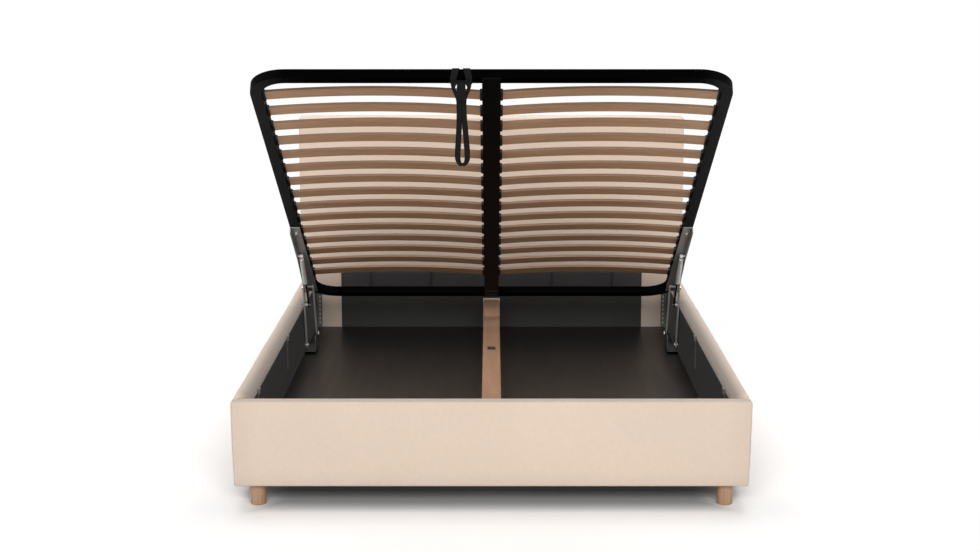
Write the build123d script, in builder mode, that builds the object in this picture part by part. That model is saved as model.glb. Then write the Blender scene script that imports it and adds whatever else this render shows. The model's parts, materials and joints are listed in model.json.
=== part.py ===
"""Ottoman storage bed, shown open: an upholstered base with a lifting slatted platform.

Origin on the ground at the centre of the open bed's footprint, +Z up, foot panel towards -Y.
The model stands with the platform fully raised. All lengths are in millimetres.
"""

import os
from math import atan2, cos, hypot, radians, sin

from build123d import *

os.makedirs("parts", exist_ok=True)

# Overall form
overall_width = 1656.0
overall_length = 2132.0
headboard_height = 1074.0
base_height = 364.0
ground_clearance = 75.0

# Upholstered panels
foot_panel_thickness = 50.0
headboard_thickness = 70.0
rail_thickness = 60.0
rail_inset = 4.0
panel_edge_radius = 12.0
panel_top_radius = 6.0
rail_top_radius = 26.0
padding_thickness = 12.0
headboard_padding = 16.0

# Linings
lining_thickness = 2.0
lining_drop = 20.0
headboard_lining_inset = 173.0
headboard_lining_height = 256.0
pad_row_height = 100.0
pad_thickness = 4.0
pad_joint = 3.0
pads_across = 5
pad_corner_radius = 14.0
pad_edge_bevel = 1.3
full_pads = 4

# Storage floor and centre beam
floor_top = 154.0
floor_thickness = 9.0
batten_size = 20.0
beam_width = 66.0
beam_top = 276.0
beam_bottom = 96.0
bumper_length = 30.0
bumper_width = 20.0
bumper_place = 1090.0
bumper_corner_radius = 4.0
bumper_edge_bevel = 2.0
shoe_thickness = 3.0
shoe_rise = 6.0
shoe_length = 40.0

# Legs
leg_diameter = 54.0
leg_inset_side = 73.0
leg_inset_end = 58.0
leg_rounding = 4.0
leg_taper = 2.0
leg_block_size = 92.0

# Corner angles
angle_leaf = 22.0
angle_thickness = 2.0
angle_height = 156.0
slot_width = 6.0
slot_length = 13.0
slot_pitch = 19.0
slot_cut_reach = 7.0

# Rail guide brackets
bracket_width = 22.0
bracket_thickness = 3.0
bracket_bottom = 230.0
bracket_height = 108.0
bracket_ear_height = 18.0
bracket_ear_reach = 8.0
bracket_hole_radius = 4.0
bracket_slots = 3
bracket_slot_length = 27.0
bracket_front_place = 165.0
bracket_rear_place = 960.0

# Lifting platform
mechanism_room = 12.0
foot_gap = 5.0
tube_width = 36.0
tube_height = 30.0
tube_wall = 1.5
platform_corner_radius = 118.0
centre_bar_width = 58.0
lap_thickness = 3.0
closed_height = 284.0
headboard_gap = 3.0

# Open pose of the platform
lift_angle = 30.55
open_shift = 365.0
open_rise = 79.5

# Slats
slat_count = 15
slat_width = 53.0
slat_thickness = 8.0
slat_crown = 14.0
first_slat_place = 248.0
last_slat_inset = 152.0
slat_seat = 14.0
holder_reach = 7.0
holder_wall = 2.0
holder_clearance = 0.8
slat_end_clearance = 1.0

# Lift mechanism, one on each side
link_thickness = 5.0
outer_link_width = 26.0
inner_link_width = 18.0
pin_radius = 5.0
pin_clearance = 0.08
rivet_head_radius = 9.0
rivet_head_thickness = 3.0
outer_pin_along = 230.0
outer_pin_drop = 45.0
inner_pin_along = 160.0
inner_pin_drop = 16.0
outer_base_height = 186.0
inner_base_height = 212.0
bracket_plate = 3.0
plate_flange_width = 36.0
plate_foot_end = 770.0
plate_head_end = 71.0
plate_bolt_inset = 60.0
plate_end_depth = 24.0
web_rounding = 10.0
bolt_radius = 4.0
bolt_head_radius = 7.0
bolt_head_sides = 6
bolt_head_thickness = 4.0
bolt_clearance = 0.2
channel_overhang = 22.0
channel_floor_drop = 21.0
channel_cheek_rise = 14.0
link_gap = 1.0
side_gap = 0.5

# Gas struts
strut_foot_share = 0.7
strut_stud_along = 505.0
strut_stud_drop = 15.0
strut_body_radius = 9.0
strut_body_wall = 1.5
strut_side_room = 1.8
strut_closed_exposure = 14.6
strut_end_length = 18.0
strut_rod_radius = 4.0
strut_piston_length = 8.0
strut_piston_clearance = 0.25
strut_eye_radius = 8.0
strut_eye_width = 9.0
strut_stud_radius = 4.5
strut_collar_radius = 6.5
strut_guide_clearance = 0.08

# Pull strap
strap_place = 89.0
strap_thickness = 3.0
strap_length = 253.0
strap_trunk_width = 27.0
strap_trunk_length = 118.0
strap_gather = 42.0
strap_loop_width = 44.0
strap_loop_gap = 13.5
strap_loop_tip = 1.0
strap_loop_base = 5.0
strap_clearance = 0.4
hitch_band_width = 23.0
hitch_band_gap = 20.0

# Shared working values
fit_gap = 0.3

# Sizes that follow from the overall form
lining_span = overall_width - 2 * (rail_inset + rail_thickness + lining_thickness)
platform_width = lining_span - 2 * mechanism_room
platform_length = overall_length - foot_panel_thickness - headboard_thickness
platform_length -= 2 * lining_thickness + pad_thickness + headboard_gap + foot_gap
slat_pitch = (platform_length - first_slat_place - last_slat_inset) / (slat_count - 1)
headboard_lining_width = overall_width - 2 * headboard_lining_inset
pad_width = headboard_lining_width / pads_across

# Open tilt of the platform, and how far its foot end then stands out past the foot panel
tilt = radians(lift_angle)
open_edge_place = overall_length - headboard_thickness - lining_thickness - pad_thickness
open_edge_place -= headboard_gap + open_shift
front_overhang = (
    (platform_length + strap_clearance) * cos(tilt)
    + strap_clearance * sin(tilt)
    + strap_thickness
    - open_edge_place
)

# Derived places
foot_face = (front_overhang - overall_length) / 2
back_face = foot_face + overall_length
foot_inner = foot_face + foot_panel_thickness
head_face = back_face - headboard_thickness
rail_outer = overall_width / 2 - rail_inset
rail_inner = rail_outer - rail_thickness
side_face = rail_inner - lining_thickness
foot_lining_face = foot_inner + lining_thickness
head_lining_face = head_face - lining_thickness
pad_face = head_lining_face - pad_thickness
floor_underside = floor_top - floor_thickness
panel_height = base_height - ground_clearance
rail_length = head_face - foot_inner
lining_top = base_height - lining_drop

closed_edge = pad_face - headboard_gap
open_edge = closed_edge - open_shift
open_edge_height = closed_height + open_rise

SIDES = (("left", -1), ("right", 1))


def on_platform(along, above, opened=True):
    """Y and Z of a point given along the platform from its head edge and above its underside."""
    if not opened:
        return closed_edge - along, closed_height + above
    y = open_edge - along * cos(tilt) + above * sin(tilt)
    z = open_edge_height + along * sin(tilt) + above * cos(tilt)
    return y, z


def fixed_pivot(closed_pin, open_pin, height):
    """Base pivot at this height, equally far from the pin's closed and open places."""
    middle_y = (closed_pin[0] + open_pin[0]) / 2
    middle_z = (closed_pin[1] + open_pin[1]) / 2
    step_y = open_pin[0] - closed_pin[0]
    step_z = open_pin[1] - closed_pin[1]
    return middle_y - (height - middle_z) * step_z / step_y, height


def between(start, end, share):
    """Point on the line from start to end."""
    return start[0] + (end[0] - start[0]) * share, start[1] + (end[1] - start[1]) * share


def distance(a, b):
    return hypot(b[0] - a[0], b[1] - a[1])


def angle_of(a, b):
    return atan2(b[1] - a[1], b[0] - a[0])


# Lift pivots in the side view, as (Y, Z)
outer_top = on_platform(outer_pin_along, -outer_pin_drop)
outer_top_closed = on_platform(outer_pin_along, -outer_pin_drop, opened=False)
inner_top = on_platform(inner_pin_along, -inner_pin_drop)
inner_top_closed = on_platform(inner_pin_along, -inner_pin_drop, opened=False)
outer_base = fixed_pivot(outer_top_closed, outer_top, outer_base_height)
inner_base = fixed_pivot(inner_top_closed, inner_top, inner_base_height)
strut_foot = between(outer_base, outer_top, strut_foot_share)
strut_foot_closed = between(outer_base, outer_top_closed, strut_foot_share)
strut_stud = on_platform(strut_stud_along, -strut_stud_drop)
strut_stud_closed = on_platform(strut_stud_along, -strut_stud_drop, opened=False)
strut_open_length = distance(strut_foot, strut_stud)
strut_closed_length = distance(strut_foot_closed, strut_stud_closed)
strut_body_length = strut_closed_length - strut_end_length - strut_closed_exposure

# Planes of the mechanism's layers, as distances from the middle of the bed
web_outer = platform_width / 2
web_inner = web_outer - bracket_plate
outer_link_inner = web_outer + link_gap
outer_link_outer = outer_link_inner + link_thickness
strut_centre = web_inner - side_gap - strut_side_room - strut_body_radius
inner_link_outer = strut_centre - strut_body_radius - link_gap
inner_link_inner = inner_link_outer - link_thickness
inner_cheek_outer = inner_link_inner - link_gap
inner_cheek_inner = inner_cheek_outer - bracket_plate
tube_centre = platform_width / 2 - tube_width / 2
web_depth = outer_pin_drop + outer_link_width / 2

platform_plane = Plane(
    origin=(0, open_edge, open_edge_height), x_dir=(1, 0, 0), z_dir=(0, sin(tilt), cos(tilt))
)


def platform_side(x):
    """Side view of the platform at this X: local x runs to the foot end, local y upwards."""
    return Plane(
        origin=(x, open_edge, open_edge_height), x_dir=(0, -cos(tilt), sin(tilt)), z_dir=(-1, 0, 0)
    )


def across_platform(along):
    """Cross section of the platform at this distance from its head edge, local y upwards."""
    return Plane(
        origin=(0, *on_platform(along, 0)), x_dir=(1, 0, 0), z_dir=(0, -cos(tilt), sin(tilt))
    )


def save(piece, name):
    piece.label = name
    export_step(piece, f"parts/{name}.step")


# Foot panel: a board in a padded cover that is open underneath
with BuildPart() as foot_panel_cover:
    with BuildSketch(Plane.XY.offset(ground_clearance)):
        with Locations((0, foot_face + foot_panel_thickness / 2)):
            Rectangle(overall_width, foot_panel_thickness)
    extrude(amount=panel_height)
    fillet(foot_panel_cover.edges().filter_by(Axis.Z), panel_edge_radius)
    fillet(foot_panel_cover.faces().sort_by(Axis.Z)[-1].edges(), panel_top_radius)
    with BuildSketch(Plane.XY.offset(ground_clearance)):
        with Locations((0, foot_face + foot_panel_thickness / 2)):
            Rectangle(overall_width - 2 * padding_thickness, foot_panel_thickness - 2 * padding_thickness)
    extrude(amount=panel_height - padding_thickness, mode=Mode.SUBTRACT)
save(foot_panel_cover.part, "foot_panel_cover")

with BuildPart() as foot_panel_board:
    with BuildSketch(Plane.XY.offset(ground_clearance)):
        with Locations((0, foot_face + foot_panel_thickness / 2)):
            Rectangle(overall_width - 2 * padding_thickness, foot_panel_thickness - 2 * padding_thickness)
    extrude(amount=panel_height - padding_thickness)
save(foot_panel_board.part, "foot_panel_board")

# Headboard: the same build, taller
with BuildPart() as headboard_cover:
    with BuildSketch(Plane.XY.offset(ground_clearance)):
        with Locations((0, head_face + headboard_thickness / 2)):
            Rectangle(overall_width, headboard_thickness)
    extrude(amount=headboard_height - ground_clearance)
    fillet(headboard_cover.edges().filter_by(Axis.Z), panel_edge_radius)
    fillet(headboard_cover.faces().sort_by(Axis.Z)[-1].edges(), panel_top_radius)
    with BuildSketch(Plane.XY.offset(ground_clearance)):
        with Locations((0, head_face + headboard_thickness / 2)):
            Rectangle(overall_width - 2 * headboard_padding, headboard_thickness - 2 * headboard_padding)
    extrude(amount=headboard_height - ground_clearance - headboard_padding, mode=Mode.SUBTRACT)
save(headboard_cover.part, "headboard_cover")

with BuildPart() as headboard_board:
    with BuildSketch(Plane.XY.offset(ground_clearance)):
        with Locations((0, head_face + headboard_thickness / 2)):
            Rectangle(overall_width - 2 * headboard_padding, headboard_thickness - 2 * headboard_padding)
    extrude(amount=headboard_height - ground_clearance - headboard_padding)
save(headboard_board.part, "headboard_board")

# Side rails: a rounded, padded section run from the foot panel to the headboard
for side, sign in SIDES:
    rail_end = Plane(
        origin=(sign * (rail_inner + rail_thickness / 2), foot_inner, ground_clearance),
        x_dir=(-1, 0, 0),
        z_dir=(0, 1, 0),
    )
    with BuildPart() as rail_cover:
        with BuildSketch(rail_end) as rail_section:
            Rectangle(rail_thickness, panel_height, align=(Align.CENTER, Align.MIN))
            fillet(rail_section.vertices().group_by(Axis.Y)[-1], rail_top_radius)
        extrude(amount=rail_length)
        with BuildSketch(rail_end):
            Rectangle(
                rail_thickness - 2 * padding_thickness,
                panel_height - padding_thickness,
                align=(Align.CENTER, Align.MIN),
            )
        extrude(amount=rail_length, mode=Mode.SUBTRACT)
    save(rail_cover.part, f"{side}_rail_cover")

    with BuildPart() as rail_board:
        with BuildSketch(rail_end):
            Rectangle(
                rail_thickness - 2 * padding_thickness,
                panel_height - padding_thickness,
                align=(Align.CENTER, Align.MIN),
            )
        extrude(amount=rail_length)
    save(rail_board.part, f"{side}_rail_board")

# Thin dark linings on the inner faces, from the storage floor up
for side, sign in SIDES:
    with BuildPart() as side_lining:
        with BuildSketch(Plane.XY.offset(floor_top)):
            with Locations((sign * (side_face + lining_thickness / 2), (foot_inner + head_face) / 2)):
                Rectangle(lining_thickness, rail_length)
        extrude(amount=lining_top - floor_top)
    save(side_lining.part, f"{side}_lining")

with BuildPart() as foot_lining:
    with BuildSketch(Plane.XY.offset(floor_top)):
        with Locations((0, foot_inner + lining_thickness / 2)):
            Rectangle(2 * side_face, lining_thickness)
    extrude(amount=lining_top - floor_top)
save(foot_lining.part, "foot_lining")

# Headboard lining: a plain dark board with a row of thin pads along its top
with BuildPart() as headboard_lining:
    with BuildSketch(Plane.XY.offset(floor_top)):
        with Locations((0, head_face - lining_thickness / 2)):
            Rectangle(headboard_lining_width, lining_thickness)
    extrude(amount=headboard_lining_height)
save(headboard_lining.part, "headboard_lining")

pad_plane = Plane(
    origin=(0, head_lining_face, floor_top + headboard_lining_height - pad_row_height / 2),
    x_dir=(1, 0, 0),
    z_dir=(0, -1, 0),
)
full_row = full_pads * pad_width
end_pad_width = (headboard_lining_width - full_row) / 2
with BuildPart() as headboard_pads:
    with BuildSketch(pad_plane) as pad_faces:
        with Locations(*[((place - (full_pads - 1) / 2) * pad_width, 0) for place in range(full_pads)]):
            RectangleRounded(pad_width - pad_joint, pad_row_height, pad_corner_radius)
        with Locations(*[(sign * (full_row + end_pad_width) / 2, 0) for side, sign in SIDES]):
            RectangleRounded(end_pad_width - pad_joint, pad_row_height, pad_corner_radius)
    extrude(amount=pad_thickness)
    chamfer(headboard_pads.faces().filter_by(Axis.Y).group_by(Axis.Y)[0].edges(), pad_edge_bevel)
save(headboard_pads.part, "headboard_pads")

# Centre beam, with a shoe at each end and a bumper that the closed platform rests on
with BuildPart() as centre_beam:
    with BuildSketch(Plane.XY.offset(beam_bottom)):
        with Locations((0, (foot_lining_face + head_lining_face) / 2)):
            Rectangle(beam_width, head_lining_face - foot_lining_face - 2 * shoe_thickness)
    extrude(amount=beam_top - beam_bottom)
    fillet(centre_beam.edges().filter_by(Axis.Y).group_by(Axis.Z)[-1], shoe_thickness)
save(centre_beam.part, "centre_beam")

with BuildPart() as beam_shoes:
    for wall, inward in ((foot_lining_face, 1), (head_lining_face, -1)):
        shoe_plane = Plane(origin=(0, wall, 0), x_dir=(inward, 0, 0), z_dir=(0, -inward, 0))
        with BuildSketch(shoe_plane):
            with Locations((0, (beam_top + floor_top + shoe_rise) / 2)):
                Rectangle(beam_width + 2 * shoe_thickness, beam_top - floor_top + shoe_rise)
        extrude(amount=-shoe_thickness)
        with BuildSketch(shoe_plane):
            for flank in (-1, 1):
                with Locations((flank * (beam_width + shoe_thickness) / 2, (beam_top + floor_top) / 2)):
                    Rectangle(shoe_thickness, beam_top - floor_top - 2 * shoe_thickness)
        extrude(amount=-shoe_length)
save(beam_shoes.part, "beam_shoes")

with BuildPart() as beam_bumper:
    with BuildSketch(Plane.XY.offset(beam_top)):
        with Locations((0, foot_face + bumper_place)):
            RectangleRounded(bumper_length, bumper_width, bumper_corner_radius)
    extrude(amount=closed_height - beam_top - fit_gap)
    chamfer(beam_bumper.faces().sort_by(Axis.Z)[-1].edges(), bumper_edge_bevel)
save(beam_bumper.part, "beam_bumper")

# Storage floor: one board each side of the beam, on battens and corner blocks
floor_edge = beam_width / 2 + shoe_thickness + fit_gap
for side, sign in SIDES:
    with BuildPart() as floor_board:
        with BuildSketch(Plane.XY.offset(floor_underside)):
            with Locations((sign * (floor_edge + rail_inner) / 2, (foot_inner + head_face) / 2)):
                Rectangle(rail_inner - floor_edge, rail_length)
        extrude(amount=floor_thickness)
    save(floor_board.part, f"{side}_floor_board")

with BuildPart() as floor_battens:
    with BuildSketch(Plane.XY.offset(floor_underside)):
        for centre in (rail_inner - batten_size / 2, (beam_width + batten_size) / 2):
            with Locations(*[(sign * centre, (foot_inner + head_face) / 2) for side, sign in SIDES]):
                Rectangle(batten_size, rail_length - 2 * leg_block_size)
    extrude(amount=-batten_size)
save(floor_battens.part, "floor_battens")

# Corner blocks under the floor, and a turned leg below each
block_centre_x = rail_inner - leg_block_size / 2
block_places = [
    (sign * block_centre_x, y)
    for y in (foot_inner + leg_block_size / 2, head_face - leg_block_size / 2)
    for side, sign in SIDES
]
with BuildPart() as leg_blocks:
    with BuildSketch(Plane.XY.offset(ground_clearance)):
        with Locations(*block_places):
            Rectangle(leg_block_size, leg_block_size)
    extrude(amount=floor_underside - ground_clearance)
save(leg_blocks.part, "leg_blocks")

leg_x = overall_width / 2 - leg_inset_side
leg_radius = leg_diameter / 2
for end, leg_y in (("front", foot_face + leg_inset_end), ("rear", back_face - leg_inset_end)):
    with BuildPart() as legs:
        for side, sign in SIDES:
            leg_axis = Plane(origin=(sign * leg_x, leg_y, 0), x_dir=(1, 0, 0), z_dir=(0, -1, 0))
            with BuildSketch(leg_axis) as leg_section:
                with BuildLine():
                    Polyline(
                        (0, ground_clearance),
                        (leg_radius, ground_clearance),
                        (leg_radius - leg_taper, 0),
                        (0, 0),
                        close=True,
                    )
                make_face()
                fillet(leg_section.vertices().sort_by(Axis.Y)[:2].sort_by(Axis.X)[-1], leg_rounding)
            revolve(axis=Axis(leg_axis.origin, (0, 0, 1)))
    save(legs.part, f"{end}_legs")

# Perforated steel angles in the corners, standing on the floor
angle_slots = int((angle_height - slot_length) // slot_pitch)
slot_heights = [floor_top + slot_pitch * (number + 1) for number in range(angle_slots)]
slot_inset = (angle_thickness + angle_leaf) / 2
with BuildPart() as corner_angles:
    for wall, inward in ((foot_lining_face, 1), (head_face, -1)):
        for side, sign in SIDES:
            with BuildSketch(Plane.XY.offset(floor_top)):
                with Locations((sign * (side_face - angle_leaf / 2), wall + inward * angle_thickness / 2)):
                    Rectangle(angle_leaf, angle_thickness)
                with Locations((sign * (side_face - angle_thickness / 2), wall + inward * angle_leaf / 2)):
                    Rectangle(angle_thickness, angle_leaf)
            extrude(amount=angle_height)
            with BuildSketch(Plane(origin=(0, wall, 0), x_dir=(1, 0, 0), z_dir=(0, -1, 0))):
                with Locations(*[(sign * (side_face - slot_inset), height) for height in slot_heights]):
                    SlotOverall(slot_length, slot_width, rotation=90)
            extrude(amount=slot_cut_reach, both=True, mode=Mode.SUBTRACT)
            with BuildSketch(Plane.YZ.offset(sign * side_face)):
                with Locations(*[(wall + inward * slot_inset, height) for height in slot_heights]):
                    SlotOverall(slot_length, slot_width, rotation=90)
            extrude(amount=slot_cut_reach, both=True, mode=Mode.SUBTRACT)
save(corner_angles.part, "corner_angles")

# Guide brackets on the rails: a slotted plate with a folded ear, two on each side
with BuildPart() as guide_brackets:
    for side, sign in SIDES:
        for place in (bracket_front_place, bracket_rear_place):
            bracket_plane = Plane.YZ.offset(sign * side_face)
            centre = foot_face + place
            with BuildSketch(bracket_plane):
                with Locations((centre, bracket_bottom)):
                    Rectangle(bracket_width, bracket_height, align=(Align.CENTER, Align.MIN))
            extrude(amount=-sign * bracket_thickness)
            with BuildSketch(bracket_plane):
                with Locations((centre, bracket_bottom + bracket_height)):
                    Rectangle(bracket_width, bracket_ear_height, align=(Align.CENTER, Align.MIN))
            extrude(amount=-sign * bracket_ear_reach)
            with BuildSketch(bracket_plane):
                with Locations((centre, bracket_bottom + bracket_height + bracket_ear_height / 2)):
                    Circle(bracket_hole_radius)
                for number in range(bracket_slots):
                    slot_height = bracket_bottom + bracket_height * (2 * number + 1) / (2 * bracket_slots)
                    with Locations((centre, slot_height)):
                        SlotOverall(bracket_slot_length, slot_width, rotation=90)
            extrude(amount=-sign * bracket_ear_reach, mode=Mode.SUBTRACT)
save(guide_brackets.part, "guide_brackets")

# Platform frame: a rectangular tube bent into a ring, hollow, with bolt holes underneath
plate_bolts = (plate_head_end + plate_bolt_inset, plate_foot_end - plate_bolt_inset)
bolt_places = [(sign * tube_centre, -along) for along in plate_bolts for side, sign in SIDES]
with BuildPart() as platform_frame:
    for inset, bottom, top, mode in (
        (0, 0, tube_height, Mode.ADD),
        (tube_wall, tube_wall, tube_height - tube_wall, Mode.SUBTRACT),
    ):
        with BuildSketch(platform_plane.offset(bottom)):
            with Locations((0, -platform_length / 2)):
                RectangleRounded(
                    platform_width - 2 * inset,
                    platform_length - 2 * inset,
                    platform_corner_radius - inset,
                )
                RectangleRounded(
                    platform_width - 2 * tube_width + 2 * inset,
                    platform_length - 2 * tube_width + 2 * inset,
                    platform_corner_radius - tube_width + inset,
                    mode=Mode.SUBTRACT,
                )
        extrude(amount=top - bottom, mode=mode)
    with BuildSketch(platform_plane):
        with Locations(*bolt_places):
            Circle(bolt_radius + bolt_clearance)
    extrude(amount=tube_height / 2, mode=Mode.SUBTRACT)
save(platform_frame.part, "platform_frame")

# Centre bar: a flat tube between the end bars, with a plate lapped under each of them
bar_length = platform_length - 2 * tube_width
with BuildPart() as centre_bar:
    with BuildSketch(across_platform(tube_width)):
        with Locations((0, tube_height / 2)):
            Rectangle(centre_bar_width, tube_height)
            Rectangle(
                centre_bar_width - 2 * tube_wall, tube_height - 2 * tube_wall, mode=Mode.SUBTRACT
            )
    extrude(amount=bar_length)
    with BuildSketch(platform_plane):
        for along in (tube_width / 2, platform_length - tube_width / 2):
            with Locations((0, -along)):
                Rectangle(centre_bar_width, tube_width)
        for along in (tube_width * 1.5, platform_length - tube_width * 1.5):
            with Locations((0, -along)):
                Rectangle(centre_bar_width, tube_width)
    extrude(amount=-lap_thickness)
save(centre_bar.part, "centre_bar")

# Sprung slats: crowned strips, each row holding one slat on either side of the centre bar
bay_inner = centre_bar_width / 2
bay_outer = platform_width / 2 - tube_width
slat_start = bay_inner + holder_wall + slat_end_clearance
slat_end = bay_outer - holder_wall - slat_end_clearance
slat_middle = (slat_start + slat_end) / 2


slat_places = [first_slat_place + slat_pitch * number for number in range(slat_count)]
for number, along in enumerate(slat_places):
    with BuildPart() as slat_row:
        with BuildSketch(across_platform(along - slat_width / 2)):
            for side, sign in SIDES:
                with BuildLine():
                    lower = ThreePointArc(
                        (sign * slat_start, slat_seat),
                        (sign * slat_middle, slat_seat + slat_crown),
                        (sign * slat_end, slat_seat),
                    )
                    upper = ThreePointArc(
                        (sign * slat_start, slat_seat + slat_thickness),
                        (sign * slat_middle, slat_seat + slat_crown + slat_thickness),
                        (sign * slat_end, slat_seat + slat_thickness),
                    )
                    Line(lower @ 0, upper @ 0)
                    Line(lower @ 1, upper @ 1)
                make_face()
        extrude(amount=slat_width)
    save(slat_row.part, f"slat_row_{number + 1:02d}")

# Slat holders: plastic pockets on the side tubes and on the centre bar
holder_length = slat_width + 2 * holder_wall + 2 * holder_clearance
pocket_height = slat_thickness + 2 * holder_clearance
seats = [(along, slat_seat + slat_thickness / 2) for along in slat_places]
for group, wall_x, reach in (("side", bay_outer, -1), ("centre", bay_inner, 1)):
    with BuildPart() as slat_holders:
        for side, sign in SIDES:
            with BuildSketch(platform_side(sign * wall_x)):
                with Locations(*seats):
                    Rectangle(holder_length, pocket_height + 2 * holder_wall)
            extrude(amount=-sign * reach * holder_reach)
            with BuildSketch(platform_side(sign * (wall_x + reach * holder_wall))):
                with Locations(*seats):
                    Rectangle(holder_length - 2 * holder_wall, pocket_height)
            extrude(amount=-sign * reach * holder_reach, mode=Mode.SUBTRACT)
    save(slat_holders.part, f"{group}_holders")


def link_outline(start, end, width):
    """Flat bar with round ends on two pivots."""
    for point in (start, end):
        with Locations(point):
            Circle(width / 2)
    make_hull()


def pin_seat(sign, start, point):
    """Plane across a pin that runs outwards along X from this distance to the bed's middle."""
    return Plane(origin=(sign * start, *point), z_dir=(sign, 0, 0))


STAND = (Align.CENTER, Align.CENTER, Align.MIN)


hole_radius = pin_radius + pin_clearance
eye_half = strut_eye_width / 2 + side_gap
channel_floor = outer_base_height - channel_floor_drop
channel_foot = outer_base[0] - channel_overhang
channel_head = inner_base[0] + channel_overhang
for side, sign in SIDES:
    # Base channel: an upright cheek against the rail and one on the inside, joined by a floor
    with BuildPart() as base_channel:
        for near, thickness, pivot in (
            (side_face, bracket_plate, outer_base),
            (inner_cheek_outer, bracket_plate, inner_base),
        ):
            with BuildSketch(Plane.YZ.offset(sign * near)) as cheek:
                cheek_top = pivot[1] + channel_cheek_rise
                with Locations(((channel_foot + channel_head) / 2, channel_floor)):
                    Rectangle(
                        channel_head - channel_foot,
                        cheek_top - channel_floor,
                        align=(Align.CENTER, Align.MIN),
                    )
                fillet(cheek.vertices().group_by(Axis.Y)[-1], channel_cheek_rise)
                with Locations(pivot):
                    Circle(hole_radius, mode=Mode.SUBTRACT)
            extrude(amount=-sign * thickness)
        with BuildSketch(Plane.YZ.offset(sign * side_face)):
            with Locations(((channel_foot + channel_head) / 2, channel_floor)):
                Rectangle(
                    channel_head - channel_foot, bracket_plate, align=(Align.CENTER, Align.MAX)
                )
        extrude(amount=-sign * (side_face - inner_cheek_inner))
    save(base_channel.part, f"{side}_base_channel")

    # Outer link, with the strut's lower pin standing on its inner face
    with BuildPart() as outer_link:
        with BuildSketch(Plane.YZ.offset(sign * outer_link_inner)):
            link_outline(outer_base, outer_top, outer_link_width)
            with Locations(outer_base, outer_top):
                Circle(hole_radius, mode=Mode.SUBTRACT)
        extrude(amount=sign * link_thickness)
        with Locations(pin_seat(sign, strut_centre - eye_half, strut_foot)):
            Cylinder(strut_stud_radius, outer_link_inner - strut_centre + eye_half, align=STAND)
        with Locations(pin_seat(sign, strut_centre + eye_half, strut_foot)):
            Cylinder(strut_collar_radius, outer_link_inner - strut_centre - eye_half, align=STAND)
    save(outer_link.part, f"{side}_outer_link")

    # Inner link, with a short pin towards the platform's plate
    with BuildPart() as inner_link:
        with BuildSketch(Plane.YZ.offset(sign * inner_link_inner)):
            link_outline(inner_base, inner_top, inner_link_width)
            with Locations(inner_base):
                Circle(hole_radius, mode=Mode.SUBTRACT)
        extrude(amount=sign * link_thickness)
        with Locations(pin_seat(sign, inner_link_outer, inner_top)):
            Cylinder(pin_radius, web_inner - side_gap - inner_link_outer, align=STAND)
    save(inner_link.part, f"{side}_inner_link")

    # Upper plate: a flange bolted under the side tube and a web that hangs to the pivots
    with BuildPart() as upper_plate:
        with BuildSketch(platform_side(sign * web_outer)) as web:
            with BuildLine():
                Polyline(
                    (plate_head_end, 0),
                    (plate_foot_end, 0),
                    (plate_foot_end, -plate_end_depth),
                    (strut_stud_along, -2 * strut_stud_drop),
                    (outer_pin_along + outer_link_width / 2, -web_depth),
                    (outer_pin_along - outer_link_width / 2, -web_depth),
                    (plate_head_end, -plate_end_depth),
                    close=True,
                )
            make_face()
            fillet(web.vertices().group_by(Axis.Y)[0], web_rounding)
        extrude(amount=sign * bracket_plate)
        with BuildSketch(platform_plane):
            with Locations((sign * tube_centre, -(plate_head_end + plate_foot_end) / 2)):
                Rectangle(plate_flange_width, plate_foot_end - plate_head_end)
            with Locations(*[(sign * tube_centre, -along) for along in plate_bolts]):
                Circle(bolt_radius + bolt_clearance, mode=Mode.SUBTRACT)
        extrude(amount=-bracket_plate)
    save(upper_plate.part, f"{side}_upper_plate")

# Rivets: the base ones stand in the channels, the upper ones in the platform's plates
rivet_end = inner_cheek_inner - side_gap / 2
base_rivet_steps = (
    (outer_link_inner - side_gap, side_face, outer_base, pin_radius),
    (outer_link_outer + side_gap, side_face - bracket_plate - side_gap / 2, outer_base, rivet_head_radius),
    (
        outer_link_inner - side_gap - rivet_head_thickness,
        outer_link_inner - side_gap,
        outer_base,
        rivet_head_radius,
    ),
    (rivet_end, inner_link_outer + side_gap, inner_base, pin_radius),
    (rivet_end - rivet_head_thickness, rivet_end, inner_base, rivet_head_radius),
)
upper_head = outer_link_outer + side_gap
upper_rivet_steps = (
    (web_outer, upper_head, outer_top, pin_radius),
    (upper_head, upper_head + rivet_head_thickness, outer_top, rivet_head_radius),
)
for name, steps in (("base_rivets", base_rivet_steps), ("upper_rivets", upper_rivet_steps)):
    with BuildPart() as rivets:
        for side, sign in SIDES:
            for start, end, pivot, radius in steps:
                with Locations(pin_seat(sign, start, pivot)):
                    Cylinder(radius, end - start, align=STAND)
    save(rivets.part, name)

# Bolts that hold the upper plates to the side tubes
with BuildPart() as plate_bolt_set:
    with BuildSketch(platform_plane.offset(-bracket_plate)):
        with Locations(*bolt_places):
            RegularPolygon(bolt_head_radius, bolt_head_sides)
    extrude(amount=-bolt_head_thickness)
    with BuildSketch(platform_plane.offset(-bracket_plate)):
        with Locations(*bolt_places):
            Circle(bolt_radius)
    extrude(amount=tube_height / 2)
save(plate_bolt_set.part, "plate_bolts")

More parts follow.
